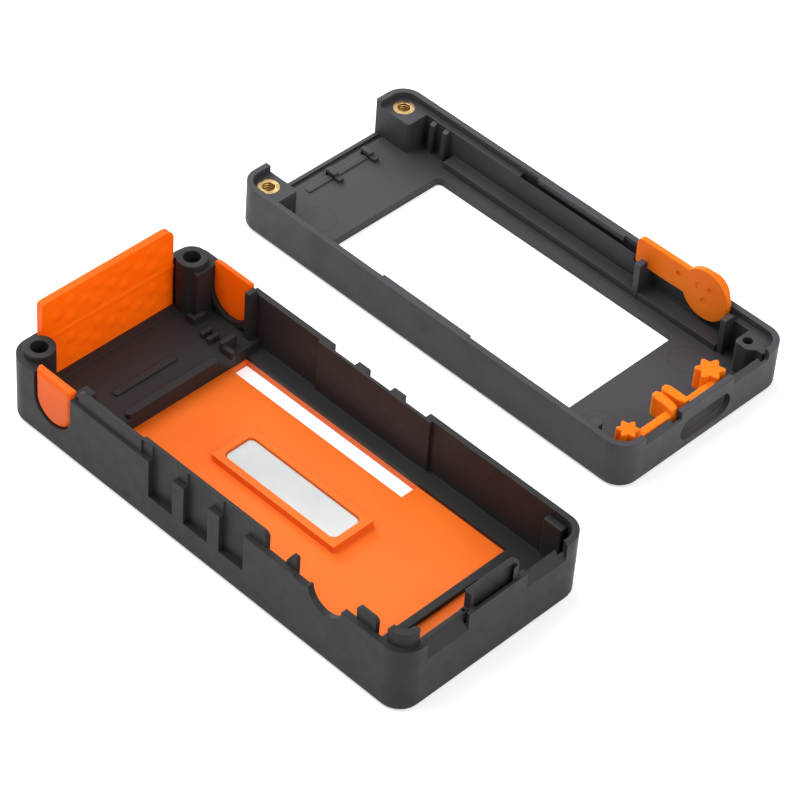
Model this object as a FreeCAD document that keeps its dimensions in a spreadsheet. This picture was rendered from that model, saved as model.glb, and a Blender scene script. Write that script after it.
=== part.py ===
import FreeCAD, Part
import math
import os
from types import SimpleNamespace

import Sketcher

# Open development board case: base shell, cover shell lying beside it, and the orange fittings.
# Millimetres. +X runs to the connector end, +Z up, the origin is the middle of the base's underside.
# The cover has its own frame, inside up, placed beside the base.

SIZES = {
    # outer shells
    "case_length": 80.0,
    "case_width": 36.2,
    "base_height": 11.6,
    "cover_height": 8.25,
    "corner_radius": 3.5,
    "edge_round": 0.8,
    "rim_wall": 1.0,
    # cover lying beside the base
    "cover_x": -8.89,
    "cover_y": 53.57,
    # base floor
    "plate_thickness": 1.2,
    "ledge_thickness": 0.8,
    "bay_length": 15.95,
    "bay_floor": 3.3,
    "sill_height": 3.5,
    "sill_width": 1.5,
    "bay_rib_width": 1.35,
    "bay_rib_height": 4.2,
    "bay_rib_length": 17.6,
    "low_rib_height": 3.65,
    "window_half_width": 14.2,
    "window_end_gap": 11.0,
    "web_width": 1.3,
    "web_slot_length": 3.6,
    "web_slot_width": 13.6,
    # base long walls
    "pocket_width": 4.85,
    "pocket_pitch": 7.15,
    "pocket_middle": -0.2,
    "pocket_depth": 1.0,
    "pocket_bottom": 4.9,
    "backing": 0.5,
    "backing_left": -12.0,
    "backing_right": 10.7,
    "tongue_height": 2.4,
    "tongue_width": 0.7,
    "tongue_left": -24.9,
    "tongue_right": 12.9,
    "port_middle": -30.05,
    "port_radius": 3.85,
    "port_centre_height": 7.85,
    "port_ring": 1.0,
    # screw bosses
    "boss_inset": 3.4,
    "boss_radius": 2.4,
    "boss_rise": 1.05,
    "screw_hole_radius": 1.35,
    "screw_head_radius": 2.3,
    "screw_head_depth": 1.8,
    # end panel seat
    "panel_half_width": 12.6,
    "panel_thickness": 1.2,
    "panel_height": 17.0,
    "panel_seat": 1.0,
    "panel_recess": 0.45,
    "end_lip": 0.6,
    "panel_play": 0.1,
    "dome_pitch": 5.2,
    "dome_radius": 1.05,
    # connector end of the base
    "valley_inner_y": 5.7,
    "valley_width": 7.8,
    "valley_outer_height": 8.3,
    "valley_inner_height": 11.35,
    "guard_half_width": 4.7,
    "guard_depth": 2.2,
    "guard_wall": 1.0,
    # side button
    "button_x": 25.1,
    "button_height": 8.05,
    "button_hole_radius": 3.15,
    "button_gap": 0.3,
    "button_flange_radius": 4.43,
    "button_flange_thickness": 0.95,
    "button_proud": 0.5,
    "arm_start": 11.5,
    "arm_low": 5.9,
    "arm_high": 10.7,
    # cover
    "cover_floor": 1.4,
    "cover_step": 7.1,
    "cover_wall": 2.0,
    "ledge_outer": 6.8,
    "ledge_inner": 7.4,
    "screen_left_gap": 14.5,
    "screen_right_gap": 16.2,
    "screen_near": 13.9,
    "screen_far": 11.9,
    "screen_corner": 0.8,
    "rail_y": 13.8,
    "rail_height": 2.7,
    "boss_block_inner": 12.0,
    "boss_block_length": 6.5,
    "insert_radius": 1.75,
    "insert_bore": 1.05,
    "insert_length": 4.0,
    "usb_half_width": 5.45,
    "usb_low": 1.9,
    "usb_high": 6.0,
    # back plate and magnet
    "plate_left_gap": 6.8,
    "plate_right_gap": 2.6,
    "plate_half_width": 15.4,
    "plate_corner": 2.0,
    "plate_play": 0.1,
    "slot_inset": 0.25,
    "slot_length": 35.25,
    "slot_near": 11.0,
    "magnet_length": 22.5,
    "magnet_width": 5.55,
    "magnet_thickness": 1.5,
    "magnet_middle": 0.45,
    "magnet_play": 0.05,
    "frame_wall": 1.2,
    "frame_height": 1.2,
    "magnet_seat": 0.6,
    # end button strip
    "strip_thickness": 1.3,
    "strip_gap": 0.2,
    "near_crown_radius": 1.8,
    "far_crown_radius": 2.3,
    "strip_low": 4.6,
    "strip_high": 8.5,
    "bar_top": 7.5,
    "near_crown_y": -14.2,
    "far_crown_y": 4.4,
    "fold_near": -6.7,
    "fold_far": -2.9,
    "fold_reach": 4.1,
    "leg_thickness": 1.45,
}

doc = FreeCAD.newDocument("board_case")
sheet = doc.addObject("Spreadsheet::Sheet", "Sizes")
for row, (alias, number) in enumerate(SIZES.items(), start=1):
    sheet.set(f"A{row}", alias)
    sheet.set(f"B{row}", str(number))
    sheet.setAlias(f"B{row}", alias)
doc.recompute()


class Size:
    """A length together with the sheet formula that gives it."""

    def __init__(self, value, text):
        self.value = float(value)
        self.text = text

    def __add__(self, other):
        other = as_size(other)
        return Size(self.value + other.value, f"({self.text} + {other.text})")

    def __radd__(self, other):
        return as_size(other) + self

    def __sub__(self, other):
        other = as_size(other)
        return Size(self.value - other.value, f"({self.text} - {other.text})")

    def __rsub__(self, other):
        return as_size(other) - self

    def __mul__(self, other):
        other = as_size(other)
        return Size(self.value * other.value, f"({self.text} * {other.text})")

    def __rmul__(self, other):
        return as_size(other) * self

    def __truediv__(self, other):
        other = as_size(other)
        return Size(self.value / other.value, f"({self.text} / {other.text})")

    def __neg__(self):
        return Size(-self.value, f"(-1 * {self.text})")


def as_size(number):
    if isinstance(number, Size):
        return number
    return Size(number, f"({float(number):.6f})")


d = SimpleNamespace(**{alias: Size(sheet.get(alias), "Sizes." + alias) for alias in SIZES})


# Sketch outlines

def loop(*corners):
    """Closed outline through (x, y) corners; a corner (x, y, r) is rounded with radius r."""
    return ("loop", corners)


def box2(x_low, x_high, y_low, y_high, radius=None):
    corners = ((x_low, y_low), (x_high, y_low), (x_high, y_high), (x_low, y_high))
    if radius is None:
        return loop(*corners)
    return loop(*[(x, y, radius) for x, y in corners])


def circle(x, y, radius):
    return ("circle", (x, y, radius))


def point_on(sketch, geometry, place, x, y):
    """Pins a vertex to its distances from the sketch's origin."""
    for kind, size in (("DistanceX", as_size(x)), ("DistanceY", as_size(y))):
        number = sketch.addConstraint(Sketcher.Constraint(kind, -1, 1, geometry, place, size.value))
        sketch.setExpression(f"Constraints[{number}]", size.text)


def draw_circle(sketch, data):
    x, y, radius = (as_size(item) for item in data)
    centre = FreeCAD.Vector(x.value, y.value, 0)
    ring = sketch.addGeometry(Part.Circle(centre, FreeCAD.Vector(0, 0, 1), radius.value), False)
    point_on(sketch, ring, 3, x, y)
    number = sketch.addConstraint(Sketcher.Constraint("Radius", ring, radius.value))
    sketch.setExpression(f"Constraints[{number}]", radius.text)


def corner_arc(before, corner, after, radius):
    """Tangent arc that rounds one corner, with its two tangent points."""
    to_before = (before - corner).normalize()
    to_after = (after - corner).normalize()
    half_angle = to_before.getAngle(to_after) / 2
    reach = radius / math.tan(half_angle)
    start = corner + to_before * reach
    end = corner + to_after * reach
    middle_way = (to_before + to_after).normalize()
    centre = corner + middle_way * (radius / math.sin(half_angle))
    middle = centre - middle_way * radius
    return Part.Arc(start, middle, end), start, end


def draw_loop(sketch, corners):
    count = len(corners)
    vectors = [FreeCAD.Vector(as_size(c[0]).value, as_size(c[1]).value, 0) for c in corners]
    starts, ends, arcs = list(vectors), list(vectors), [None] * count
    for index, corner in enumerate(corners):
        if len(corner) == 3:
            before, after = vectors[index - 1], vectors[(index + 1) % count]
            arc, first, last = corner_arc(before, vectors[index], after, as_size(corner[2]).value)
            arcs[index], ends[index], starts[index] = arc, first, last
    lines = []
    for index in range(count):
        following = (index + 1) % count
        lines.append(sketch.addGeometry(Part.LineSegment(starts[index], ends[following]), False))
    for index, corner in enumerate(corners):
        incoming, outgoing = lines[index - 1], lines[index]
        if arcs[index] is None:
            sketch.addConstraint(Sketcher.Constraint("Coincident", incoming, 2, outgoing, 1))
            point_on(sketch, outgoing, 1, corner[0], corner[1])
            continue
        bend = sketch.addGeometry(arcs[index], False)
        arc_start = FreeCAD.Vector(sketch.getPoint(bend, 1))
        first_end = 1 if arc_start.distanceToPoint(ends[index]) < 1e-4 else 2
        sketch.addConstraint(Sketcher.Constraint("Tangent", incoming, 2, bend, first_end))
        sketch.addConstraint(Sketcher.Constraint("Tangent", bend, 3 - first_end, outgoing, 1))
        number = sketch.addConstraint(Sketcher.Constraint("Radius", bend, as_size(corner[2]).value))
        sketch.setExpression(f"Constraints[{number}]", as_size(corner[2]).text)
        apex = sketch.addGeometry(Part.Point(vectors[index]), True)
        point_on(sketch, apex, 1, corner[0], corner[1])
        sketch.addConstraint(Sketcher.Constraint("PointOnObject", apex, 1, incoming))
        sketch.addConstraint(Sketcher.Constraint("PointOnObject", apex, 1, outgoing))


def add_sketch(body, name, plane, level, outlines):
    """Sketch on one of the body's own planes, moved along that plane's axis to the level."""
    sketch = body.newObject("Sketcher::SketchObject", name)
    carrier = [part for part in body.Origin.OriginFeatures if part.Role == plane + "_Plane"][0]
    sketch.AttachmentSupport = (carrier, [""])
    sketch.MapMode = "FlatFace"
    level = -as_size(level) if plane == "XZ" else as_size(level)
    sketch.setExpression("AttachmentOffset.Base.z", level.text)
    for form, data in outlines:
        if form == "circle":
            draw_circle(sketch, data)
        else:
            draw_loop(sketch, data)
    return sketch


# Body features

FEATURE_COUNT = {}


def unique_name(body, word):
    key = (body.Name, word)
    FEATURE_COUNT[key] = FEATURE_COUNT.get(key, 0) + 1
    return f"{body.Name}_{word}_{FEATURE_COUNT[key]}"


def new_body(label, on_cover=False):
    body = doc.addObject("PartDesign::Body", label)
    body.Label = label
    if on_cover:
        body.setExpression("Placement.Base.x", d.cover_x.text)
        body.setExpression("Placement.Base.y", d.cover_y.text)
    return body


def extrude(kind, body, word, plane, low, high, outlines):
    """Pad or pocket between two levels of the plane's axis; a cut that removes nothing stops."""
    low, high = as_size(low), as_size(high)
    starts_low = (kind == "Pad") == (plane != "XZ")
    before = body.Shape.Volume if body.Tip else 0.0
    sketch = add_sketch(body, unique_name(body, word + "_sketch"), plane, low if starts_low else high,
                        outlines)
    feature = body.newObject("PartDesign::" + kind, unique_name(body, word))
    feature.Profile = sketch
    feature.setExpression("Length", (high - low).text)
    feature.Refine = False
    doc.recompute()
    after = body.Shape.Volume
    grew = after > before + 1e-6
    shrank = after < before - 1e-6
    if (kind == "Pad" and not grew) or (kind == "Pocket" and not shrank):
        raise RuntimeError(f"{feature.Name} changed nothing")
    return feature


def pad(body, word, plane, low, high, *outlines):
    return extrude("Pad", body, word, plane, low, high, outlines)


def pocket(body, word, plane, low, high, *outlines):
    return extrude("Pocket", body, word, plane, low, high, outlines)


def repeat(body, feature, axis, count, pitch):
    """Copies of a feature in a row along one of the body's own axes."""
    pattern = body.newObject("PartDesign::LinearPattern", feature.Name + "_row")
    pattern.Originals = [feature]
    line = [part for part in body.Origin.OriginFeatures if part.Role == axis + "_Axis"][0]
    pattern.Direction = (line, [""])
    pattern.Occurrences = count
    pattern.setExpression("Length", (as_size(pitch) * (count - 1)).text)
    body.Tip = pattern
    doc.recompute()
    return pattern


def merge_faces(body):
    """Joins the coplanar faces that the separate features left."""
    body.Tip.Refine = True
    doc.recompute()


def chamfer_edges(body, word, size, chosen):
    """Chamfers the edges of the tip that the test chooses."""
    base = body.Tip
    names = [f"Edge{i}" for i, edge in enumerate(base.Shape.Edges, start=1) if chosen(edge)]
    chamfer = body.newObject("PartDesign::Chamfer", unique_name(body, word))
    chamfer.Base = (base, names)
    chamfer.setExpression("Size", as_size(size).text)
    doc.recompute()
    return chamfer


def round_edges(body, word, radius, chosen):
    """Fillets the edges of the tip that the test chooses."""
    base = body.Tip
    names = [f"Edge{i}" for i, edge in enumerate(base.Shape.Edges, start=1) if chosen(edge)]
    if not names:
        raise RuntimeError(f"no edge to round for {word}")
    fillet = body.newObject("PartDesign::Fillet", unique_name(body, word))
    fillet.Base = (base, names)
    fillet.setExpression("Radius", as_size(radius).text)
    doc.recompute()
    return fillet


def edges_at_height(level):
    def chosen(edge):
        box = edge.BoundBox
        return abs(box.ZMin - level) < 1e-4 and abs(box.ZMax - level) < 1e-4
    return chosen


# Shared places

left = -d.case_length / 2
right = d.case_length / 2
near = -d.case_width / 2
far = d.case_width / 2
inner_far = far - d.rim_wall
inner_near = near + d.rim_wall
inner_right = right - d.rim_wall
inner_radius = d.corner_radius - d.rim_wall
boss_x = left + d.boss_inset
boss_y = far - d.boss_inset
floor_top = d.plate_thickness + d.ledge_thickness
bay_edge = left + d.bay_length
window_end = right - d.window_end_gap
panel_outer = left + d.panel_recess
panel_inner = panel_outer + d.panel_thickness
opening_half = d.panel_half_width - d.end_lip
overrun = 0.5


def shell_block(body, height):
    """Rounded block with its lower outside edges softened."""
    pad(body, "block", "XY", 0, height, box2(left, right, near, far, d.corner_radius))
    round_edges(body, "bottom_round", d.edge_round, edges_at_height(0.0))


def build_base_shell():
    body = new_body("base_shell")
    top = d.base_height
    shell_block(body, top)
    pocket(body, "cavity", "XY", floor_top, top + overrun,
           box2(left + d.rim_wall, inner_right, inner_near, inner_far, inner_radius))

    # raised floor of the end bay with its ribs and the sill behind the end panel
    sunk = d.rim_wall - 0.3
    bay_round = d.corner_radius - sunk
    pad(body, "bay", "XY", floor_top - 0.3, d.bay_floor,
        loop((left + sunk, near + sunk, bay_round), (bay_edge, near + sunk),
             (bay_edge, far - sunk), (left + sunk, far - sunk, bay_round)))
    rib_half = d.bay_rib_length / 2
    rib_round = d.bay_rib_width * 0.49
    low_rib = bay_edge - 5.4
    pad(body, "bay_ribs", "XY", d.bay_floor - 0.2, d.bay_rib_height,
        box2(bay_edge - d.bay_rib_width, bay_edge, -rib_half, rib_half, rib_round))
    pad(body, "low_rib", "XY", d.bay_floor - 0.2, d.low_rib_height,
        box2(low_rib - 0.6, low_rib + 0.6, -7.0, 5.0, 0.55))
    pad(body, "sill", "XY", d.bay_floor - 0.2, d.sill_height,
        box2(panel_inner, panel_inner + d.sill_width, -d.panel_half_width, d.panel_half_width))

    # thicker wall behind the row of outside pockets
    for side in (-1, 1):
        wall_in = side * (inner_far - d.backing)
        wall_out = side * (inner_far + 0.3)
        low, high = (wall_out, wall_in) if side < 0 else (wall_in, wall_out)
        pad(body, "backing", "XY", floor_top - 0.2, top,
            box2(d.backing_left, d.backing_right, low, high))

    # rings round the two port openings, then the U openings and the screw bosses
    ring_radius = d.port_radius + d.port_ring
    for side in (-1, 1):
        outer = side * (inner_far + 0.3)
        inner = side * (inner_far - d.port_ring)
        low, high = (outer, inner) if side < 0 else (inner, outer)
        pad(body, "port_ring", "XZ", low, high,
            loop((d.port_middle - ring_radius, d.port_centre_height - ring_radius, ring_radius - 0.02),
                 (d.port_middle + ring_radius, d.port_centre_height - ring_radius, ring_radius - 0.02),
                 (d.port_middle + ring_radius, top),
                 (d.port_middle - ring_radius, top)))
    boss_top = top + d.boss_rise
    fill_out = d.corner_radius - 0.5
    for side in (-1, 1):
        fill_far = side * (far - 0.5)
        fill_near = side * (boss_y - 1.2)
        pad(body, "boss_corner", "XY", floor_top, top,
            loop((left + 0.5, fill_near, 0.3), (boss_x + 1.6, fill_near, 0.6), (boss_x + 1.6, fill_far),
                 (left + 0.5, fill_far, fill_out)))
    pad(body, "boss", "XY", floor_top, boss_top,
        circle(boss_x, boss_y, d.boss_radius), circle(boss_x, -boss_y, d.boss_radius))

    # opening of the end wall, with a groove each side that holds the end panel's edges
    half = d.panel_half_width + d.panel_play
    pocket(body, "end_opening", "XY", d.panel_seat, boss_top + overrun,
           box2(left - overrun, panel_inner, -opening_half, opening_half))
    pocket(body, "panel_groove", "XY", d.panel_seat, boss_top + overrun,
           box2(panel_outer - d.panel_play, panel_inner + 0.02, -half, half))

    port_reach = d.port_ring + d.rim_wall
    for side in (-1, 1):
        outer = side * (far + overrun)
        inner = side * (far - port_reach - overrun)
        low, high = (outer, inner) if side < 0 else (inner, outer)
        pocket(body, "port", "XZ", low, high,
               loop((d.port_middle - d.port_radius, d.port_centre_height - d.port_radius,
                     d.port_radius - 0.02),
                    (d.port_middle + d.port_radius, d.port_centre_height - d.port_radius,
                     d.port_radius - 0.02),
                    (d.port_middle + d.port_radius, boss_top + overrun),
                    (d.port_middle - d.port_radius, boss_top + overrun)))

    # tabs that stand up beside the ports
    tab_x = d.port_middle + d.port_radius + 0.1
    for side in (-1, 1):
        outer = side * (inner_far + 0.1)
        inner = side * (inner_far - 1.6)
        low, high = (outer, inner) if side < 0 else (inner, outer)
        pad(body, "port_tab", "XY", d.bay_floor, top + 0.6, box2(tab_x, tab_x + 0.9, low, high))

    # tongue along the near wall that the cover's groove takes
    tongue_top = top + d.tongue_height
    bury = top - 1.2
    pad(body, "tongue", "XZ", inner_near - 0.25, inner_near - 0.25 + d.tongue_width + 0.15,
        loop((d.backing_left, bury), (d.tongue_right, bury),
             (d.tongue_right, tongue_top, 0.8), (d.backing_left, tongue_top)))
    pad(body, "tongue_end", "XZ", inner_near - 0.55, inner_near - 0.55 + d.tongue_width,
        loop((d.tongue_left, bury), (d.backing_left + 0.2, bury),
             (d.backing_left + 0.2, tongue_top), (d.tongue_left, tongue_top, 0.8)))
    hook_low, hook_high = inner_near - 0.2, inner_near + 0.5
    pad(body, "hook", "XZ", hook_low, hook_high,
        loop((16.8, bury), (18.8, bury), (18.8, tongue_top, 0.3), (17.9, tongue_top, 0.2), (16.9, 12.3)))
    pad(body, "tab", "XZ", hook_low, hook_high,
        loop((30.3, bury), (33.9, bury), (33.9, tongue_top, 0.7), (30.3, tongue_top, 0.5)))

    # curved lug in the near corner of the connector end
    lug_x, lug_y = right - d.corner_radius, near + d.corner_radius
    lug_out, lug_in = inner_radius + 0.1, inner_radius - 1.1
    pad(body, "corner_lug", "XY", top - 1.5, tongue_top,
        loop((lug_x - 0.6, lug_y - lug_out), (lug_x + lug_out, lug_y - lug_out, lug_out - 0.1),
             (lug_x + lug_out, lug_y + 0.6, 0.5), (lug_x + lug_in, lug_y + 0.6, 0.5),
             (lug_x + lug_in, lug_y - lug_in, lug_in - 0.1), (lug_x - 0.6, lug_y - lug_in)))

    # outside pockets, open at the rim
    for side in (-1, 1):
        deep = side * (far - d.pocket_depth)
        out = side * (far + overrun)
        low, high = (out, deep) if side < 0 else (deep, out)
        start = d.pocket_middle - d.pocket_pitch - d.pocket_width / 2
        cut = pocket(body, "side_pocket", "XY", d.pocket_bottom, tongue_top + overrun,
                     box2(start, start + d.pocket_width, low, high))
        repeat(body, cut, "X", 3, d.pocket_pitch)

    # notch for the round side button and the shallow dip beside it
    near_cut = (near - overrun, inner_near + 0.7)
    pocket(body, "button_notch", "XZ", *near_cut,
           circle(d.button_x, top + d.cover_height - d.button_height, d.button_hole_radius))
    pocket(body, "rim_dip", "XZ", near - overrun, inner_near + 0.1,
           loop((19.2, top - 0.35, 0.3), (21.4, top - 0.35, 0.3), (21.7, top + 0.3), (18.9, top + 0.3)))

    # guard round the lower half of the connector opening
    guard_x = right - d.guard_depth
    guard_half = d.guard_half_width
    pad(body, "guard", "XY", floor_top, tongue_top,
        loop((guard_x, -guard_half, 0.3), (right - 0.45, -guard_half), (right - 0.45, guard_half, 0.9),
             (guard_x, guard_half, 0.6)))
    slot_in = guard_x + d.guard_wall
    pocket(body, "guard_slot", "XY", top - 2.0, tongue_top + overrun,
           box2(slot_in, right - 0.5, 0.6 - guard_half, guard_half - 0.7, 0.15))
    pocket(body, "guard_front", "XY", top, tongue_top + overrun,
           box2(slot_in + 0.3, right + overrun, -guard_half - overrun, guard_half - 1.6))

    # sloping valleys of the end wall and their notches
    inner = d.valley_inner_y
    outer = d.valley_inner_y + d.valley_width
    for low, high in ((-outer, -inner), (inner, outer)):
        pocket(body, "valley", "XZ", low, high,
               loop((right + 0.1, d.valley_outer_height), (right + overrun, d.valley_outer_height),
                    (right + overrun, top + overrun), (inner_right - 0.1, top + overrun),
                    (inner_right - 0.1, d.valley_inner_height)))
    pocket(body, "end_notch", "XY", top - 2.2, tongue_top + overrun,
           box2(inner_right - 0.2, right - 0.5, -inner - 0.4, 0.7 - inner),
           box2(inner_right - 0.2, right - 0.35, outer - 1.3, outer + 0.3))

    # windows of the floor, the plate's recess below, and the screws' holes
    pocket(body, "floor_window", "XY", d.plate_thickness - 0.1, floor_top + 0.1,
           box2(bay_edge, window_end, -d.window_half_width, d.window_half_width),
           box2(window_end + d.web_width, window_end + d.web_width + d.web_slot_length,
                -d.web_slot_width / 2, d.web_slot_width / 2))
    play = d.plate_play
    pocket(body, "plate_recess", "XY", -overrun, d.plate_thickness,
           box2(left + d.plate_left_gap - play, right - d.plate_right_gap + play,
                -d.plate_half_width - play, d.plate_half_width + play, d.plate_corner))
    pocket(body, "screw_hole", "XY", -overrun, boss_top + overrun,
           circle(boss_x, boss_y, d.screw_hole_radius), circle(boss_x, -boss_y, d.screw_hole_radius))
    pocket(body, "screw_seat", "XY", -overrun, d.screw_head_depth,
           circle(boss_x, boss_y, d.screw_head_radius), circle(boss_x, -boss_y, d.screw_head_radius))
    return body


def build_cover_shell():
    body = new_body("cover_shell", on_cover=True)
    top = d.cover_height
    floor = d.cover_floor
    step = d.cover_step
    deep_y = far - d.cover_wall
    shell_block(body, top)
    pocket(body, "cavity", "XY", floor, top + overrun,
           box2(left + d.rim_wall, inner_right, -deep_y, deep_y, inner_radius - 0.9))
    pocket(body, "rebate", "XY", step, top + overrun,
           box2(left + d.rim_wall, inner_right, inner_near, inner_far, inner_radius))
    # the rim is thicker beside the base's outside pockets
    for side in (-1, 1):
        outer = side * (inner_far + 0.2)
        inner = side * (inner_far - 0.4)
        low, high = (outer, inner) if side < 0 else (inner, outer)
        pad(body, "thick_rim", "XY", step - 0.2, top, box2(-9.6, 8.3, low, high))
    pocket(body, "tongue_groove", "XY", step - 1.3, step + 0.1,
           box2(-12.9, d.arm_start, inner_far - 0.95, inner_far + 0.1))

    # floor rail along the far wall and blocks that hold the threaded inserts
    pad(body, "rail", "XY", floor - 0.2, d.rail_height,
        box2(-26.6, 30.0, d.rail_y, deep_y + 0.2))
    block_end = left + 0.6 + d.boss_block_length
    for side in (-1, 1):
        block_in = side * d.boss_block_inner
        block_out = side * (far - 0.6)
        pad(body, "boss_block", "XY", floor - 0.2, step,
            loop((left + 0.6, block_in, 0.5), (block_end, block_in, 0.5), (block_end, block_out, 0.5),
                 (left + 0.6, block_out, d.corner_radius - 0.6)))
    for place in (-31.4, -28.7):
        pad(body, "wall_rib", "YZ", place, place + 0.9,
            loop((deep_y + 0.2, floor), (deep_y + 0.2, step - 0.2), (deep_y - 0.8, step - 0.6),
                 (deep_y - 1.2, floor)))

    # screen window through the cover's face
    pocket(body, "screen_window", "XY", -overrun, floor + 0.1,
           box2(left + d.screen_left_gap, right - d.screen_right_gap, -d.screen_near, d.screen_far,
                d.screen_corner))

    # end opening with the groove for the end panel
    pocket(body, "end_opening", "XY", floor, top + overrun,
           box2(left - overrun, panel_inner + 0.5, -d.boss_block_inner, d.boss_block_inner))
    pocket(body, "panel_groove", "XY", floor - 0.4, floor + 0.1,
           box2(left + 0.7, left + 1.6, -d.boss_block_inner, d.boss_block_inner))
    for place in (7.3, -0.4):
        pad(body, "floor_hook", "XZ", place - 0.35, place + 0.35,
            loop((-37.9, floor - 0.2), (-35.6, floor - 0.2), (-35.9, floor + 0.3), (-37.4, floor + 1.0)))

    # pocket of the side button's flange and arm, with the two posts in front of it
    pocket(body, "button_pocket", "XY", d.rail_height, top - 0.3,
           box2(14.4, 30.1, deep_y - 0.1, inner_far))
    pocket(body, "arm_pocket", "XY", d.arm_low - 0.3, step + 0.1,
           box2(d.arm_start - 0.3, 14.5, deep_y - 0.1, inner_far))
    pocket(body, "button_hole", "XZ", deep_y, far + overrun,
           circle(d.button_x, d.button_height, d.button_hole_radius))
    pad(body, "post", "YZ", 13.3, 14.4,
        loop((deep_y + 0.2, floor), (deep_y + 0.2, 5.4), (deep_y - 0.7, 5.6), (deep_y - 0.7, 8.0, 0.3),
             (13.7, 8.0, 0.3), (13.7, floor)))
    pad(body, "post", "YZ", 30.1, 31.1,
        loop((inner_far, floor), (inner_far, step), (deep_y - 0.2, 7.9), (14.1, 8.0, 0.3), (14.1, floor)))

    # pilot post in the far corner of the connector end
    pad(body, "pilot_post", "XY", floor - 0.2, step,
        loop((34.0, inner_far), (34.0, 12.6, 0.8), (36.6, 12.6, 0.6), (37.6, 13.6), (38.9, 13.6),
             (38.9, inner_far)))
    pocket(body, "pilot_hole", "XY", 3.0, top, circle(35.4, 14.2, 0.8))
    pad(body, "near_post", "XY", floor - 0.2, step,
        loop((31.5, inner_near), (31.5, -14.6, 0.5), (33.0, -14.6, 0.5), (33.0, inner_near)))

    # connector opening, valleys and notches of the end wall
    usb_round = (d.usb_high - d.usb_low) * 0.49
    pocket(body, "connector_hole", "YZ", inner_right - overrun, right + overrun,
           box2(-d.usb_half_width, d.usb_half_width, d.usb_low, d.usb_high, usb_round))
    inner = d.valley_inner_y
    outer = d.valley_inner_y + d.valley_width
    for low, high in ((-outer, -inner), (inner, outer)):
        pocket(body, "valley", "XZ", low, high,
               loop((right + 0.1, d.ledge_outer), (right + overrun, d.ledge_outer),
                    (right + overrun, top + overrun), (inner_right - 0.1, top + overrun),
                    (inner_right - 0.1, d.ledge_inner)))
    pocket(body, "end_notch", "XY", step - 1.6, top + overrun,
           box2(inner_right - 0.2, right - 0.35, -inner - 1.6, -inner),
           box2(inner_right - 0.2, right - 0.35, outer - 1.3, outer + 0.3))

    # seats of the threaded inserts
    pocket(body, "insert_seat", "XY", step - d.insert_length - 0.5, step + overrun,
           circle(boss_x, boss_y, d.insert_radius), circle(boss_x, -boss_y, d.insert_radius))
    return body


def octagon(x, y, radius):
    corners = []
    for step in range(8):
        angle = math.radians(22.5 + 45 * step)
        corners.append((x + radius * math.cos(angle), y + radius * math.sin(angle)))
    return loop(*corners)


def build_end_grille():
    """Orange end panel: two staggered fields of shallow domes parted by a ridge."""
    body = new_body("end_grille")
    low = d.panel_seat
    top = low + d.panel_height
    half = d.panel_half_width
    pad(body, "plate", "YZ", panel_outer, panel_inner,
        loop((-half, low), (half, low), (half, top, 1.5), (-half, top, 0.6)))
    middle = low + 10.0
    pad(body, "ridge", "YZ", panel_inner - 0.1, panel_inner + 0.3,
        box2(0.6 - half, half - 0.6, middle - 0.35, middle + 0.35))
    even, odd = -9.9, -9.9 + d.dome_pitch / 2
    rows = ((-5.5, odd, 4), (-3.9, even, 5), (-2.2, odd, 4), (1.8, odd, 4), (3.45, even, 5), (5.1, odd, 4))
    for rise, start, count in rows:
        dome = pad(body, "dome", "YZ", panel_inner - 0.1, panel_inner + 0.25,
                   octagon(start, middle + rise, d.dome_radius))
        repeat(body, dome, "Y", count, d.dome_pitch)
    return body


def build_side_plug(label, side):
    """Orange blank that closes one port opening."""
    body = new_body(label)
    radius = d.port_radius - 0.05
    top = d.base_height + 1.0
    outer = side * (far - 0.1)
    inner = side * (far - 1.3)
    low, high = (outer, inner) if side < 0 else (inner, outer)
    pad(body, "plug", "XZ", low, high,
        loop((d.port_middle - radius, d.port_centre_height - radius, radius - 0.02),
             (d.port_middle + radius, d.port_centre_height - radius, radius - 0.02),
             (d.port_middle + radius, top, 0.3), (d.port_middle - radius, top, 0.3)))
    face = side * (far - 0.1)

    def outer_top(edge):
        box = edge.BoundBox
        return abs(box.YMin - face.value) < 1e-4 and abs(box.YMax - face.value) < 1e-4 and (
            abs(box.ZMin - top.value) < 1e-4)
    round_edges(body, "top_round", 0.9, outer_top)
    return body


def build_back_plate():
    """Orange plate in the base's underside, with the magnet's frame."""
    body = new_body("back_plate")
    thick = d.plate_thickness
    pad(body, "plate", "XY", 0, thick,
        box2(left + d.plate_left_gap, right - d.plate_right_gap, -d.plate_half_width,
             d.plate_half_width, d.plate_corner))
    slot_left = bay_edge + d.slot_inset
    pocket(body, "slot", "XY", -overrun, thick + overrun,
           box2(slot_left, slot_left + d.slot_length, d.slot_near, d.window_half_width))
    length = d.magnet_length / 2 + d.magnet_play
    width = d.magnet_width / 2 + d.magnet_play
    wall = d.frame_wall
    middle = d.magnet_middle
    pad(body, "frame", "XY", thick - 0.2, thick + d.frame_height,
        box2(middle - length - wall, middle + length + wall, -width - wall, width + wall, 0.3))
    pocket(body, "magnet_seat", "XY", d.magnet_seat, thick + d.frame_height + overrun,
           box2(middle - length, middle + length, -width, width, 1.0))
    return body


def build_magnet():
    body = new_body("magnet")
    length = d.magnet_length / 2
    width = d.magnet_width / 2
    low = d.magnet_seat
    high = low + d.magnet_thickness
    pad(body, "bar", "XY", low, high,
        box2(d.magnet_middle - length, d.magnet_middle + length, -width, width, 0.95))
    chamfer_edges(body, "soft_edge", 0.15, edges_at_height(high.value))
    return body


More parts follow.
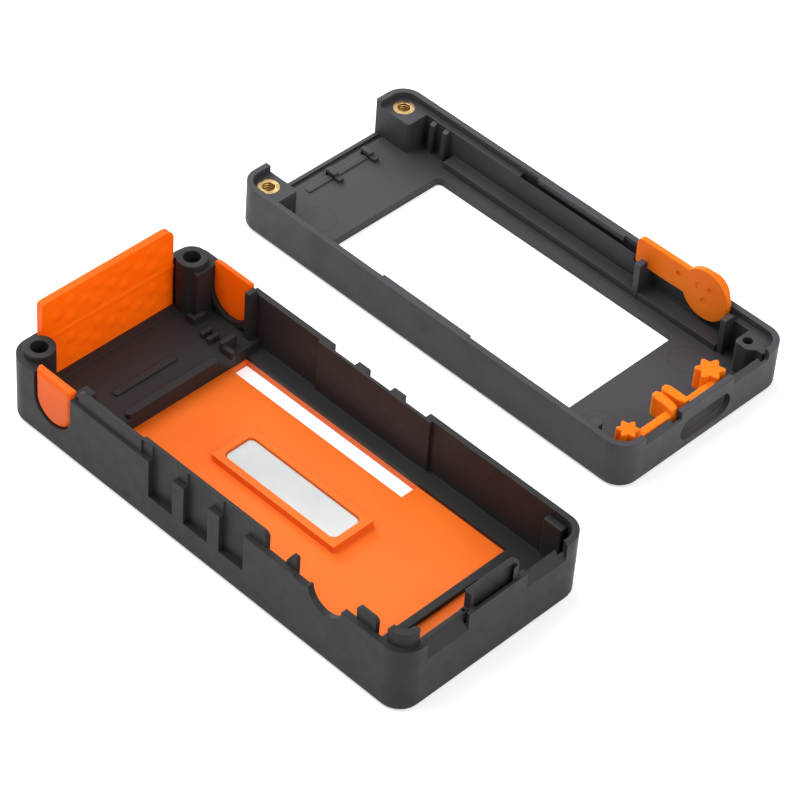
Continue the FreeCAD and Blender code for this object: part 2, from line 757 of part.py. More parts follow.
def build_insert(label, side):
    """Brass insert: two collars with a waist between them, bored through."""
    body = new_body(label, on_cover=True)
    top = d.cover_step
    low = top - d.insert_length
    outer = d.insert_radius - 0.02
    centre = (boss_x, side * boss_y)
    pad(body, "core", "XY", low, top, circle(*centre, outer - 0.2))
    pad(body, "collar", "XY", top - 1.6, top, circle(*centre, outer))
    pad(body, "collar", "XY", low + 0.3, low + 1.7, circle(*centre, outer))
    pocket(body, "bore", "XY", low - overrun, top + overrun, circle(*centre, d.insert_bore))
    return body


def build_side_button():
    """Orange round button: cap through the far wall, flange inside it and a bending arm."""
    body = new_body("side_button", on_cover=True)
    gap = 0.1
    flange_out = inner_far - gap
    flange_in = flange_out - d.button_flange_thickness
    x, z = d.button_x, d.button_height
    pad(body, "flange", "XZ", flange_in, flange_out, circle(x, z, d.button_flange_radius))
    pad(body, "arm", "XZ", flange_in, flange_out,
        loop((d.arm_start, d.arm_low, 0.6), (x - 2.5, d.arm_low + 0.2), (x - 2.5, d.arm_high + 0.1),
             (d.arm_start, d.arm_high, 0.9)))
    pad(body, "cap", "XZ", flange_in, far + d.button_proud,
        circle(x, z, d.button_hole_radius - d.button_gap))
    pocket(body, "arm_hole", "XZ", flange_in - overrun, flange_out + overrun,
           circle(x - 5.3, z + 0.75, 0.45))
    pocket(body, "dimples", "XZ", flange_in - overrun, flange_in + 0.12,
           circle(x - 1.3, z + 1.0, 0.55), circle(x + 1.0, z + 1.2, 0.55), circle(x, z - 1.3, 0.55))
    return body


def crown(x, y, radius):
    """Eight lobed outline of one end button, seen from above."""
    corners = []
    for step in range(16):
        angle = math.radians(15 + 22.5 * step)
        reach = radius * (0.82 if step % 2 else 1.0)
        place = (x + reach * math.cos(angle), y + reach * math.sin(angle))
        corners.append(place if step % 2 else (*place, radius * 0.16))
    return loop(*corners)


def build_end_button_strip():
    """Orange strip with the two end buttons, joined by flat bars and a folded bend."""
    body = new_body("end_button_strip", on_cover=True)
    outer = inner_right - d.strip_gap
    inner = outer - d.strip_thickness
    low, high = d.strip_low, d.strip_high
    far_y, near_y = d.far_crown_y, d.near_crown_y
    fold_in = outer - d.fold_reach
    pad(body, "bars", "XY", low + 1.0, d.bar_top,
        box2(inner, outer, near_y, d.fold_near + 0.4), box2(inner, outer, d.fold_far - 0.4, far_y))
    pad(body, "crown", "XY", low, high, crown(outer - d.far_crown_radius, far_y, d.far_crown_radius))
    pad(body, "crown", "XY", low, high, crown(outer - d.near_crown_radius, near_y, d.near_crown_radius))
    pad(body, "fold", "XY", low, high,
        box2(fold_in, outer, d.fold_near, d.fold_near + d.leg_thickness, 0.5),
        box2(fold_in, outer, d.fold_far - d.leg_thickness, d.fold_far, 0.5))
    pad(body, "bridge", "XY", low, d.bar_top,
        box2(fold_in + 0.1, fold_in + 0.9, d.fold_near + 0.5, d.fold_far - 0.5))
    return body


build_base_shell()
build_cover_shell()
build_end_grille()
build_side_plug("side_plug_near", -1)
build_side_plug("side_plug_far", 1)
build_back_plate()
build_magnet()
build_insert("threaded_insert_near", -1)
build_insert("threaded_insert_far", 1)
build_side_button()
build_end_button_strip()

for body in doc.findObjects("PartDesign::Body"):
    merge_faces(body)
for item in doc.Objects:
    if "Invalid" in item.State or "Error" in item.State:
        raise RuntimeError(f"{item.Label} failed: {item.State}")

os.makedirs("parts", exist_ok=True)
for body in doc.findObjects("PartDesign::Body"):
    shape = body.Shape
    if shape.isNull() or not shape.isValid() or len(shape.Solids) != 1:
        raise RuntimeError(f"{body.Label} is not one sound solid: {len(shape.Solids)}")
    shape.exportStep(f"parts/{body.Label}.step")
    print(body.Label, round(shape.Volume, 1))
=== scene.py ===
import math

import bmesh
import bpy
from mathutils import Matrix, Vector


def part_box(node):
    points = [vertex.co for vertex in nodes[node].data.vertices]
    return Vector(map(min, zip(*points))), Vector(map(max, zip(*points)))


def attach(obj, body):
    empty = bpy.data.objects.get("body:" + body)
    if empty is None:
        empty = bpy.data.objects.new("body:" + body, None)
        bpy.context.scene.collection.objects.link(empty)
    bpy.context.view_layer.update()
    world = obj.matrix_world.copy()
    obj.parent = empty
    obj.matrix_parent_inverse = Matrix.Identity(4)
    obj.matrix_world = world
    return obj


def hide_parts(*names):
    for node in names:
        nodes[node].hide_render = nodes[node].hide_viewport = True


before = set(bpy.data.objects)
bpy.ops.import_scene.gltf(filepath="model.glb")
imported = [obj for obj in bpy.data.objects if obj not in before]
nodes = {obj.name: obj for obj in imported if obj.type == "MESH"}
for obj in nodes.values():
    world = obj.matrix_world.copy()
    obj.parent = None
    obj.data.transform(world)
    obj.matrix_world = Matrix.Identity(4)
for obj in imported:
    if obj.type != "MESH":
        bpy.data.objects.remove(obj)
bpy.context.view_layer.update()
scene = bpy.context.scene
MM = 0.001


# The end panel's mesh and relief, in millimetres

PANEL_COLUMNS, PANEL_ROWS = 190, 128
NEAR_CORNER, FAR_CORNER = 0.6, 1.5
PANEL_RELIEF = 0.3
RIDGE_LEVEL = 11.0
RIDGE_HALF = 0.4
RIDGE_RISE = 0.2
DOME_RADIUS = 1.15
DOME_RISE = 0.3
DOME_PITCH = 5.2
DOME_LIMIT = 11.3
DOME_ROWS = ((5.5, 3.1), (7.1, 0.5), (8.8, 3.1), (12.8, 3.1), (14.45, 0.5), (16.1, 3.1))


# Lobes of the end buttons, in millimetres

LOBES = 6
LOBE_STEPS = 96
LOBE_TURN = math.radians(42)
LOBE_SWING = 0.17
NEAR_LOBES = 1.78
FAR_LOBES = 2.28


# The end button strip's bars and fold, in millimetres

BAR_DEPTH = 1.3
BAR_INSET = 1.0
BAR_OVERLAP = 0.4
FOLD_START = 7.5
FOLD_END = 11.3
BRIDGE_FROM, BRIDGE_TO, BRIDGE_INSET = 0.1, 0.9, 0.5
STRIP_ROUND = 0.28


# Outlines of the fold's legs: measured from the inner end (0) or outer face (1), then the offsets in x and y

NEAR_LEG = ((0, 0.0, 0.55), (0, 0.5, 0.15), (1, -1.2, 0.0), (1, 0.0, -0.2),
            (1, 0.0, 1.1), (1, -1.4, 1.5), (0, 0.8, 1.75), (0, 0.0, 1.35))
FAR_LEG = ((0, 0.0, -1.2), (0, 0.6, -1.6), (1, -1.0, -1.5), (1, 0.0, -1.2),
           (1, 0.0, 0.0), (0, 0.7, 0.0), (0, 0.0, -0.4))


# The inserts' thread: a wave of 0.45 mm pitch, its depth in metres

THREAD_SCALE = 700.0
THREAD_DEPTH = 0.00012


# Small blocks moulded to the base: the edges' round, then x, y and z from low to high, in millimetres

BASE_BLOCKS = {
    "end_wall_step": (0.2, [(38.1, 39.05, -13.6, -5.0, 2.0, 11.2)]),
    "bay_slab": (0.2, [(-35.2, -33.7, 13.2, 16.5, 3.2, 11.7)]),
    "bay_hook": (0.15, [(-34.4, -32.7, 11.7, 12.5, 3.2, 4.6), (-33.5, -32.7, 12.3, 14.2, 3.2, 4.6)]),
    "bay_teeth": (0.15, [(-30.6, -29.8, 10.8, 12.9, 3.2, 4.3), (-29.0, -28.2, 10.6, 12.7, 3.2, 4.3)]),
    "bay_bracket": (0.15, [(-26.4, -25.6, 10.8, 13.8, 3.2, 5.2), (-25.7, -23.6, 10.8, 11.7, 3.2, 4.6)]),
    "port_stop": (0.2, [(-27.6, -25.4, -15.9, -13.7, 3.2, 11.0)]),
    "wall_end": (0.2, [(38.0, 39.1, -5.8, -4.4, 6.0, 11.2)]),
    "corner_column": (0.25, [(33.4, 36.9, 15.8, 17.1, 3.2, 10.4)]),
}


# The cover's floor hooks and the ridge between them, in millimetres from the cover's middle

HOOK_PLACES = (-0.6, 7.1)
HOOK_HALF = 0.5
HOOK_BACK, HOOK_TOP_END, HOOK_FRONT = -37.8, -35.7, -34.6
HOOK_ROOT, HOOK_STEP_ROOT = 1.2, 1.3
HOOK_STEP, HOOK_TOP = 2.0, 2.5
FLOOR_RIDGE = (-37.2, -36.0, -6.2, 6.8)
FLOOR_RIDGE_TOP = 1.6
HOOK_ROUND = 0.15


# Round pin marks on the cover's floor, in metres

PIN_RADIUS = 0.0029
PIN_LINE = 0.00007
PIN_DEPTH = 0.0002
PIN_SHADE = 0.62
COVER_FLOOR = 0.0014
PIN_PLACES = ((-0.0395, 0.0441), (0.0196, 0.0630), (0.0203, 0.0429))


# Camera, from the photograph's own perspective

PICTURE = 800.0
FOCAL_PIXELS = 3448.44
CENTRE_X, CENTRE_Y = 393.20, 401.31
CAMERA_PLACE = Vector((240.346, -247.913, 346.333)) * MM
VIEW_DIRECTION = Vector((-0.48486, 0.54131, -0.68694))
CAMERA_ROLL = 4.518
SENSOR = 36.0
CLIP_NEAR, CLIP_FAR = 0.01, 20.0


# Floor, world and lamps, in metres and watts

FLOOR_HALF = 3.0
FLOOR_DROP = 0.00005
FLOOR_WHITE = 0.80
FLOOR_GLOW = 0.5
WORLD_LIGHT = 0.47
WORLD_SEEN = 1.0
LAMP_TARGET = Vector((0, 0.03, 0))
LAMPS = (("key", (-0.55, -0.35, 1.1), 0.9, 8.5),
         ("fill", (0.9, 0.1, 0.8), 0.9, 5.2),
         ("back", (-1.0, 0.25, 0.45), 0.6, 9.0))


# Shared shader values: lengths in metres, noise scales per metre

EDGE_ROUND = 0.0002
GRAIN_SCALE, GRAIN_STRENGTH, GRAIN_DEPTH = 5200.0, 0.35, 0.00002
DRIFT_SCALE, BLOTCH_SCALE = 60.0, 380.0
TONE_LOW, TONE_HIGH = 0.35, 0.65
# Painted shade in hollows: the ambient occlusion's reach, and the span of its value over which the base
# colour darkens
HOLLOW_REACH = 0.012
HOLLOW_LOW, HOLLOW_HIGH = 0.25, 0.95
NOISE_LOW, NOISE_HIGH = 0.3, 0.7
SCATTER_RADIUS = (1.0, 0.22, 0.05)
SCATTER_SCALE = 0.0018
WHITE = (1, 1, 1)


def make_camera():
    data = bpy.data.cameras.new("camera")
    data.sensor_width = SENSOR
    data.lens = FOCAL_PIXELS / PICTURE * SENSOR
    data.shift_x = 0.5 - CENTRE_X / PICTURE
    data.shift_y = CENTRE_Y / PICTURE - 0.5
    data.clip_start = CLIP_NEAR
    data.clip_end = CLIP_FAR
    camera = bpy.data.objects.new("camera", data)
    scene.collection.objects.link(camera)
    forward = VIEW_DIRECTION.normalized()
    level_right = forward.cross(Vector((0, 0, 1))).normalized()
    level_up = level_right.cross(forward)
    roll = math.radians(CAMERA_ROLL)
    right = level_right * math.cos(roll) + level_up * math.sin(roll)
    up = level_up * math.cos(roll) - level_right * math.sin(roll)
    turn = Matrix((right, up, -forward)).transposed().to_4x4()
    camera.matrix_world = Matrix.Translation(CAMERA_PLACE) @ turn
    scene.camera = camera


# Light, world and floor

def area_light(name, place, size, power):
    data = bpy.data.lights.new(name, "AREA")
    data.shape = "DISK"
    data.size = size
    data.energy = power
    lamp = bpy.data.objects.new(name, data)
    lamp.location = place
    scene.collection.objects.link(lamp)
    lamp.rotation_euler = (LAMP_TARGET - lamp.location).to_track_quat("-Z", "Y").to_euler()


def seen_ray(tree):
    """1 for what the camera sees straight on, in gloss or through glass."""
    path = tree.nodes.new("ShaderNodeLightPath")
    first = tree.nodes.new("ShaderNodeMath")
    first.operation = "MAXIMUM"
    second = tree.nodes.new("ShaderNodeMath")
    second.operation = "MAXIMUM"
    tree.links.new(path.outputs["Is Camera Ray"], first.inputs[0])
    tree.links.new(path.outputs["Is Glossy Ray"], first.inputs[1])
    tree.links.new(first.outputs[0], second.inputs[0])
    tree.links.new(path.outputs["Is Transmission Ray"], second.inputs[1])
    return second.outputs[0]


def make_world():
    world = bpy.data.worlds.new("studio")
    world.use_nodes = True
    tree = world.node_tree
    tree.nodes.clear()
    lit = tree.nodes.new("ShaderNodeBackground")
    lit.inputs["Color"].default_value = (1, 1, 1, 1)
    lit.inputs["Strength"].default_value = WORLD_LIGHT
    shown = tree.nodes.new("ShaderNodeBackground")
    shown.inputs["Color"].default_value = (1, 1, 1, 1)
    shown.inputs["Strength"].default_value = WORLD_SEEN
    mix = tree.nodes.new("ShaderNodeMixShader")
    out = tree.nodes.new("ShaderNodeOutputWorld")
    tree.links.new(seen_ray(tree), mix.inputs[0])
    tree.links.new(lit.outputs[0], mix.inputs[1])
    tree.links.new(shown.outputs[0], mix.inputs[2])
    tree.links.new(mix.outputs[0], out.inputs[0])
    scene.world = world


def make_floor():
    mesh = bpy.data.meshes.new("floor")
    half = FLOOR_HALF
    corners = [(-half, -half, 0), (half, -half, 0), (half, half, 0), (-half, half, 0)]
    mesh.from_pydata(corners, [], [(0, 1, 2, 3)])
    floor = bpy.data.objects.new("floor", mesh)
    floor.location = (0, 0, -FLOOR_DROP)
    scene.collection.objects.link(floor)
    material = bpy.data.materials.new("floor_white")
    material.use_nodes = True
    tree = material.node_tree
    tree.nodes.clear()
    paper = tree.nodes.new("ShaderNodeBsdfDiffuse")
    paper.inputs["Color"].default_value = (FLOOR_WHITE, FLOOR_WHITE, FLOOR_WHITE, 1)
    glow = tree.nodes.new("ShaderNodeEmission")
    glow.inputs["Strength"].default_value = FLOOR_GLOW
    add = tree.nodes.new("ShaderNodeAddShader")
    mix = tree.nodes.new("ShaderNodeMixShader")
    out = tree.nodes.new("ShaderNodeOutputMaterial")
    tree.links.new(paper.outputs[0], add.inputs[0])
    tree.links.new(glow.outputs[0], add.inputs[1])
    tree.links.new(seen_ray(tree), mix.inputs[0])
    tree.links.new(paper.outputs[0], mix.inputs[1])
    tree.links.new(add.outputs[0], mix.inputs[2])
    tree.links.new(mix.outputs[0], out.inputs[0])
    mesh.materials.append(material)


# Materials

def new_material(name):
    material = bpy.data.materials.new(name)
    material.use_nodes = True
    tree = material.node_tree
    shader = tree.nodes["Principled BSDF"]
    return material, tree, shader


def place_coordinates(tree):
    return tree.nodes.new("ShaderNodeTexCoord").outputs["Object"]


def noise(tree, scale, detail=3.0, roughness=0.55):
    texture = tree.nodes.new("ShaderNodeTexNoise")
    texture.inputs["Scale"].default_value = scale
    texture.inputs["Detail"].default_value = detail
    texture.inputs["Roughness"].default_value = roughness
    tree.links.new(place_coordinates(tree), texture.inputs["Vector"])
    return texture.outputs["Fac"]


def ramp(tree, source, stops):
    node = tree.nodes.new("ShaderNodeValToRGB")
    elements = node.color_ramp.elements
    while len(elements) < len(stops):
        elements.new(0.5)
    for element, (place, colour) in zip(elements, stops):
        element.position = place
        element.color = (*colour, 1)
    tree.links.new(source, node.inputs["Fac"])
    return node.outputs["Color"]


def value_ramp(tree, source, low, high):
    node = tree.nodes.new("ShaderNodeMapRange")
    node.inputs["To Min"].default_value = low
    node.inputs["To Max"].default_value = high
    node.inputs["From Min"].default_value = NOISE_LOW
    node.inputs["From Max"].default_value = NOISE_HIGH
    tree.links.new(source, node.inputs["Value"])
    return node.outputs["Result"]


def soft_edges(tree, radius):
    """Normal that rounds the sharp edges by a small radius."""
    node = tree.nodes.new("ShaderNodeBevel")
    node.samples = 6
    node.inputs["Radius"].default_value = radius
    return node.outputs["Normal"]


def bump(tree, height, strength, distance, normal):
    node = tree.nodes.new("ShaderNodeBump")
    node.inputs["Strength"].default_value = strength
    node.inputs["Distance"].default_value = distance
    tree.links.new(height, node.inputs["Height"])
    tree.links.new(normal, node.inputs["Normal"])
    return node.outputs["Normal"]


def multiply(tree, first, second):
    mix = tree.nodes.new("ShaderNodeMix")
    mix.data_type = "RGBA"
    mix.blend_type = "MULTIPLY"
    mix.inputs["Factor"].default_value = 1.0
    tree.links.new(first, mix.inputs["A"])
    tree.links.new(second, mix.inputs["B"])
    return mix.outputs["Result"]


def painted_hollow_shade(tree, depth):
    """Painted shade: grey that falls to the depth value in corners and hollows, found by ambient occlusion,
    to darken the base colour.
    """
    shade = tree.nodes.new("ShaderNodeAmbientOcclusion")
    shade.samples = 8
    shade.inputs["Distance"].default_value = HOLLOW_REACH
    return ramp(tree, shade.outputs["AO"], [(HOLLOW_LOW, (depth, depth, depth)), (HOLLOW_HIGH, WHITE)])


def math_node(tree, operation, first, second=None):
    node = tree.nodes.new("ShaderNodeMath")
    node.operation = operation
    for index, value in enumerate((first, second)):
        if value is None:
            continue
        if isinstance(value, (int, float)):
            node.inputs[index].default_value = value
        else:
            tree.links.new(value, node.inputs[index])
    return node.outputs[0]


def squared_offset(tree, source, middle):
    offset = math_node(tree, "SUBTRACT", source, middle)
    return math_node(tree, "MULTIPLY", offset, offset)


def pin_marks(tree, centres):
    """1 on thin rings that the mould's round pins left on the cover's floor."""
    split = tree.nodes.new("ShaderNodeSeparateXYZ")
    tree.links.new(place_coordinates(tree), split.inputs[0])
    total = None
    for x, y in centres:
        along = squared_offset(tree, split.outputs[0], x)
        across = squared_offset(tree, split.outputs[1], y)
        distance = math_node(tree, "SQRT", math_node(tree, "ADD", along, across))
        off = math_node(tree, "ABSOLUTE", math_node(tree, "SUBTRACT", distance, PIN_RADIUS))
        ring = math_node(tree, "LESS_THAN", off, PIN_LINE)
        total = ring if total is None else math_node(tree, "MAXIMUM", total, ring)
    height = math_node(tree, "ABSOLUTE", math_node(tree, "SUBTRACT", split.outputs[2], COVER_FLOOR))
    return math_node(tree, "MULTIPLY", total, math_node(tree, "LESS_THAN", height, PIN_DEPTH))


def moulded_plastic(name, dark, light, rough, specular, edge=EDGE_ROUND, scatter=0.0, painted_shade_depth=1.0, marks=()):
    """Moulded plastic: slow colour drift, fine spark-eroded grain, softened edges, and painted shade that
    darkens the base colour in corners and hollows when the depth value is under 1.
    """
    material, tree, shader = new_material(name)
    drift = noise(tree, DRIFT_SCALE, 2.0)
    colour = ramp(tree, drift, [(TONE_LOW, dark), (TONE_HIGH, light)])
    # Painted shade: ambient occlusion darkens the base colour in corners and hollows, down to the given
    # depth value
    if painted_shade_depth < 1.0:
        colour = multiply(tree, colour, painted_hollow_shade(tree, painted_shade_depth))
    if marks:
        shade = (PIN_SHADE, PIN_SHADE, PIN_SHADE)
        rings = ramp(tree, pin_marks(tree, marks), [(0.0, WHITE), (1.0, shade)])
        colour = multiply(tree, colour, rings)
    tree.links.new(colour, shader.inputs["Base Color"])
    grain = noise(tree, GRAIN_SCALE, 2.0, 0.6)
    blotch = noise(tree, BLOTCH_SCALE, 3.0)
    tree.links.new(value_ramp(tree, blotch, *rough), shader.inputs["Roughness"])
    rounded = soft_edges(tree, edge)
    tree.links.new(bump(tree, grain, GRAIN_STRENGTH, GRAIN_DEPTH, rounded), shader.inputs["Normal"])
    shader.inputs["Specular IOR Level"].default_value = specular
    if scatter:
        shader.inputs["Subsurface Weight"].default_value = scatter
        shader.inputs["Subsurface Radius"].default_value = SCATTER_RADIUS
        shader.inputs["Subsurface Scale"].default_value = SCATTER_SCALE
    return material


def let_light_through(material, share, tint):
    """Lets a share of the light pass the thin plastic, tinted and scattered."""
    tree = material.node_tree
    through = tree.nodes.new("ShaderNodeBsdfTranslucent")
    through.inputs["Color"].default_value = (*tint, 1)
    mix = tree.nodes.new("ShaderNodeMixShader")
    mix.inputs[0].default_value = share
    tree.links.new(tree.nodes["Principled BSDF"].outputs[0], mix.inputs[1])
    tree.links.new(through.outputs[0], mix.inputs[2])
    tree.links.new(mix.outputs[0], tree.nodes["Material Output"].inputs["Surface"])


def plated_metal():
    material, tree, shader = new_material("plated_magnet")
    shader.inputs["Metallic"].default_value = 0.35
    drift = noise(tree, 140.0, 4.0)
    specks = noise(tree, 1500.0, 1.0, 0.4)
    tone = ramp(tree, drift, [(TONE_LOW, (0.57, 0.60, 0.60)), (TONE_HIGH, (0.63, 0.65, 0.65))])
    marks = ramp(tree, specks, [(0.20, (0.55, 0.56, 0.56)), (0.25, WHITE)])
    tree.links.new(multiply(tree, tone, marks), shader.inputs["Base Color"])
    tree.links.new(value_ramp(tree, drift, 0.38, 0.5), shader.inputs["Roughness"])
    tree.links.new(bump(tree, specks, 0.2, 0.00003, soft_edges(tree, 0.00015)), shader.inputs["Normal"])
    return material


def brass_metal():
    material, tree, shader = new_material("brass")
    shader.inputs["Metallic"].default_value = 1.0
    drift = noise(tree, 900.0, 3.0)
    tone = ramp(tree, drift, [(0.3, (0.62, 0.40, 0.16)), (0.7, (0.85, 0.62, 0.30))])
    tree.links.new(tone, shader.inputs["Base Color"])
    tree.links.new(value_ramp(tree, drift, 0.22, 0.4), shader.inputs["Roughness"])
    thread = tree.nodes.new("ShaderNodeTexWave")
    thread.bands_direction = "Z"
    thread.inputs["Scale"].default_value = THREAD_SCALE
    tree.links.new(place_coordinates(tree), thread.inputs["Vector"])
    turns = bump(tree, thread.outputs["Fac"], 0.8, THREAD_DEPTH, soft_edges(tree, 0.0001))
    tree.links.new(bump(tree, drift, 0.25, 0.00003, turns), shader.inputs["Normal"])
    return material


# The end panel's fine form

def panel_height(y, z):
    """Height of the panel's inner face: a ridge and staggered rows of shallow domes, in millimetres."""
    height = RIDGE_RISE * max(0.0, 1.0 - abs(z - RIDGE_LEVEL) / RIDGE_HALF) ** 0.5
    for level, start in DOME_ROWS:
        if abs(z - level) > DOME_RADIUS:
            continue
        column = round((y - start) / DOME_PITCH)
        middle = start + DOME_PITCH * column
        if abs(middle) > DOME_LIMIT:
            continue
        reach = ((y - middle) ** 2 + (z - level) ** 2) / DOME_RADIUS ** 2
        if reach < 1.0:
            height = max(height, DOME_RISE * (1.0 - reach))
    return height


def make_panel(material):
    """The end panel again with round domes, on the solid's own outline."""
    low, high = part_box("end_grille")
    low, high = low / MM, high / MM
    face = high.x - PANEL_RELIEF
    columns, rows = PANEL_COLUMNS, PANEL_ROWS
    mesh = bmesh.new()

    def inset(z, radius):
        """How far the rounded top corner steps back from the side at this height."""
        rise = z - (high.z - radius)
        return radius - math.sqrt(max(radius ** 2 - rise ** 2, 0.0)) if rise > 0 else 0.0

    front, back = [], []
    for row in range(rows + 1):
        z = low.z + (high.z - low.z) * row / rows
        first = low.y + inset(z, NEAR_CORNER)
        last = high.y - inset(z, FAR_CORNER)
        front_row, back_row = [], []
        for column in range(columns + 1):
            y = first + (last - first) * column / columns
            x = face + panel_height(y, z)
            front_row.append(mesh.verts.new((x * MM, y * MM, z * MM)))
            if column in (0, columns) or row in (0, rows):
                back_row.append(mesh.verts.new((low.x * MM, y * MM, z * MM)))
            else:
                back_row.append(None)
        front.append(front_row)
        back.append(back_row)
    for row in range(rows):
        for column in range(columns):
            mesh.faces.new((front[row][column], front[row][column + 1], front[row + 1][column + 1],
                            front[row + 1][column]))
        for column, flip in ((0, False), (columns, True)):
            side = [front[row][column], front[row + 1][column], back[row + 1][column], back[row][column]]
            mesh.faces.new(side[::-1] if flip else side)
    for column in range(columns):
        for row, flip in ((0, True), (rows, False)):
            side = [front[row][column], front[row][column + 1], back[row][column + 1], back[row][column]]
            mesh.faces.new(side[::-1] if not flip else side)
    rim = [back[0][column] for column in range(columns + 1)]
    rim += [back[row][columns] for row in range(1, rows + 1)]
    rim += [back[rows][column] for column in range(columns - 1, -1, -1)]
    rim += [back[row][0] for row in range(rows - 1, 0, -1)]
    mesh.faces.new(rim[::-1])
    bmesh.ops.recalc_face_normals(mesh, faces=mesh.faces)
    data = bpy.data.meshes.new("end_grille_domed")
    mesh.to_mesh(data)
    mesh.free()
    data.materials.append(material)
    for polygon in data.polygons:
        polygon.use_smooth = polygon.normal.x > 0.5
    panel = bpy.data.objects.new("end_grille_domed", data)
    scene.collection.objects.link(panel)
    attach(panel, "case")
    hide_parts("end_grille")


# Small moulded pieces, given by an outline in millimetres seen from above

def prism(name, outlines, body, material, bevel):
    """Upright solids, each an outline between two levels, as one piece on a body of the frame."""
    mesh = bmesh.new()
    for outline, low, high in outlines:
        bottom = [mesh.verts.new((x * MM, y * MM, low * MM)) for x, y in outline]
        top = [mesh.verts.new((x * MM, y * MM, high * MM)) for x, y in outline]
        mesh.faces.new(bottom[::-1])
        mesh.faces.new(top)
        count = len(outline)
        for index in range(count):
            after = (index + 1) % count
            mesh.faces.new((bottom[index], bottom[after], top[after], top[index]))
    bmesh.ops.recalc_face_normals(mesh, faces=mesh.faces)
    data = bpy.data.meshes.new(name)
    mesh.to_mesh(data)
    mesh.free()
    data.materials.append(material)
    piece = bpy.data.objects.new(name, data)
    scene.collection.objects.link(piece)
    soften = piece.modifiers.new("soften", "BEVEL")
    soften.width = bevel * MM
    soften.segments = 3
    soften.limit_method = "ANGLE"
    soften.angle_limit = math.radians(35)
    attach(piece, body)
    return piece


def box_outline(x_low, x_high, y_low, y_high):
    return [(x_low, y_low), (x_high, y_low), (x_high, y_high), (x_low, y_high)]


def lobed_outline(x, y, radius):
    """Six soft lobes, two of them towards the near side of the cover's inside."""
    middle, swing = radius * (1 - LOBE_SWING), radius * LOBE_SWING
    points = []
    for step in range(LOBE_STEPS):
        angle = math.tau * step / LOBE_STEPS
        reach = middle + swing * math.cos(LOBES * (angle - LOBE_TURN))
        points.append((x + reach * math.cos(angle), y + reach * math.sin(angle)))
    return points


def leg_outline(points, inner_end, outer_face, edge):
    """Outline of a fold's leg, each point measured from one of its ends and from the fold's edge."""
    return [((inner_end, outer_face)[end] + along, edge + across) for end, along, across in points]


def make_end_strip(material):
    """The end button strip again with soft lobes and folds, within the solid's box."""
    low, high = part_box("end_button_strip")
    low, high = low / MM, high / MM
    outer, inner = high.x, high.x - BAR_DEPTH
    fold_in = low.x
    near_y = low.y + NEAR_LOBES
    far_y = high.y - FAR_LOBES
    fold_near, fold_far = near_y + FOLD_START, near_y + FOLD_END
    bar_low, bar_top = low.z + BAR_INSET, high.z - BAR_INSET
    bridge = box_outline(fold_in + BRIDGE_FROM, fold_in + BRIDGE_TO,
                         fold_near + BRIDGE_INSET, fold_far - BRIDGE_INSET)
    pieces = [
        (box_outline(inner, outer, near_y, fold_near + BAR_OVERLAP), bar_low, bar_top),
        (box_outline(inner, outer, fold_far - BAR_OVERLAP, far_y), bar_low, bar_top),
        (leg_outline(NEAR_LEG, fold_in, outer, fold_near), low.z, high.z),
        (leg_outline(FAR_LEG, fold_in, outer, fold_far), low.z, high.z),
        (bridge, low.z, bar_top),
        (lobed_outline(outer - FAR_LOBES, far_y, FAR_LOBES), low.z, high.z),
        (lobed_outline(outer - NEAR_LOBES, near_y, NEAR_LOBES), low.z, high.z),
    ]
    strip = prism("end_button_strip_soft", pieces, "end_buttons", material, STRIP_ROUND)
    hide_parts("end_button_strip")


def make_base_blocks(material):
    """Stops in the bay and thicker places at the connector end that the solids leave out."""
    for name, (edge_round, blocks) in BASE_BLOCKS.items():
        pieces = [(box_outline(*block[:4]), *block[4:]) for block in blocks]
        prism(name, pieces, "case", material, edge_round)


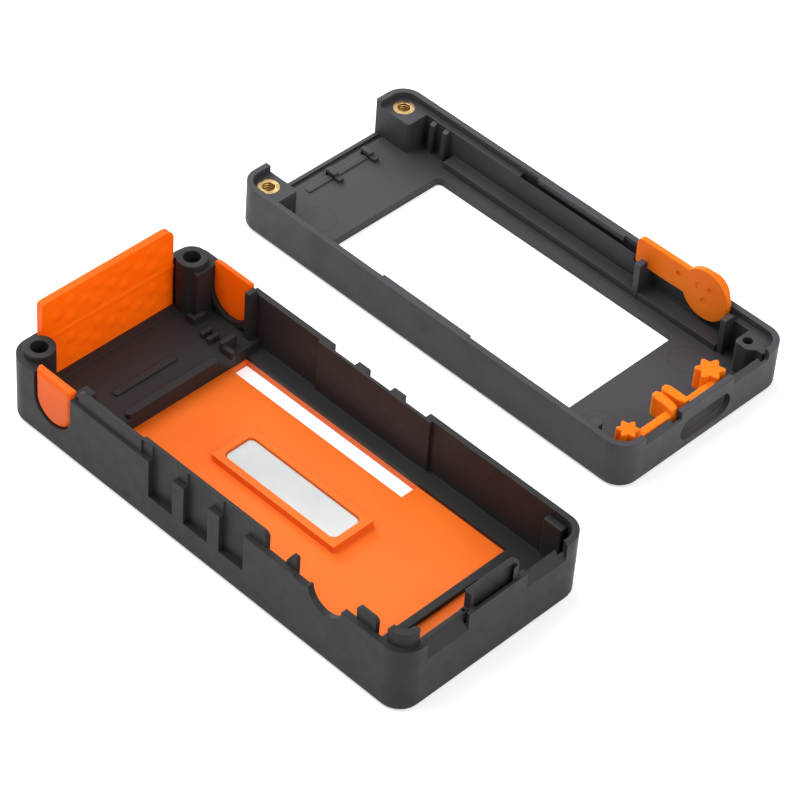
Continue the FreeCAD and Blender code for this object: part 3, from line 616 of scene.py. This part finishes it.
def make_floor_stops(material):
    """The two floor hooks at full width and the low ridge that joins them, on the cover's floor."""
    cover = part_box("cover_shell")
    middle = (cover[0] + cover[1]) / (2 * MM)
    x_low, x_high, y_low, y_high = FLOOR_RIDGE
    ridge = box_outline(middle.x + x_low, middle.x + x_high, middle.y + y_low, middle.y + y_high)
    pieces = [(ridge, HOOK_ROOT, FLOOR_RIDGE_TOP)]
    for across in HOOK_PLACES:
        low, high = middle.y + across - HOOK_HALF, middle.y + across + HOOK_HALF
        step = box_outline(middle.x + HOOK_BACK, middle.x + HOOK_FRONT, low, high)
        top = box_outline(middle.x + HOOK_BACK, middle.x + HOOK_TOP_END, low, high)
        pieces.append((step, HOOK_ROOT, HOOK_STEP))
        pieces.append((top, HOOK_STEP_ROOT, HOOK_TOP))
    prism("cover_floor_stops", pieces, "case", material, HOOK_ROUND)


def dress(node, material):
    mesh = nodes[node].data
    if not mesh.materials:
        mesh.materials.append(material)
    for index in range(len(mesh.materials)):
        mesh.materials[index] = material


make_camera()
make_world()
make_floor()
for lamp in LAMPS:
    area_light(*lamp)

# Both greys carry painted shade that darkens their corners and hollows, more strongly on the cover
base_grey = moulded_plastic("base_grey", (0.027, 0.0265, 0.027), (0.033, 0.0325, 0.033),
                            rough=(0.44, 0.56), specular=0.15, painted_shade_depth=0.85)
cover_grey = moulded_plastic("cover_grey", (0.044, 0.043, 0.050), (0.052, 0.051, 0.059),
                             rough=(0.48, 0.6), specular=0.30, painted_shade_depth=0.5, marks=PIN_PLACES)
orange = moulded_plastic("orange", (0.95, 0.155, 0.008), (1.0, 0.18, 0.012),
                         rough=(0.42, 0.55), specular=0.33, scatter=0.15)
soft_orange = moulded_plastic("soft_orange", (1.0, 0.185, 0.003), (1.0, 0.215, 0.006),
                              rough=(0.42, 0.55), specular=0.16, edge=0.0003, scatter=0.35)
thin_orange = moulded_plastic("thin_orange", (1.0, 0.155, 0.002), (1.0, 0.175, 0.004),
                              rough=(0.30, 0.38), specular=0.24, scatter=0.25)
let_light_through(thin_orange, share=0.34, tint=(1.0, 0.44, 0.01))
magnet_metal = plated_metal()
brass = brass_metal()

dress("base_shell", base_grey)
dress("cover_shell", cover_grey)
dress("back_plate", orange)
dress("side_button", soft_orange)
for name in ("side_plug_near", "side_plug_far"):
    dress(name, thin_orange)
dress("magnet", magnet_metal)
for name in ("threaded_insert_near", "threaded_insert_far"):
    dress(name, brass)
make_panel(thin_orange)
make_end_strip(soft_orange)
make_base_blocks(base_grey)
make_floor_stops(cover_grey)

scene.view_settings.view_transform = "Standard"
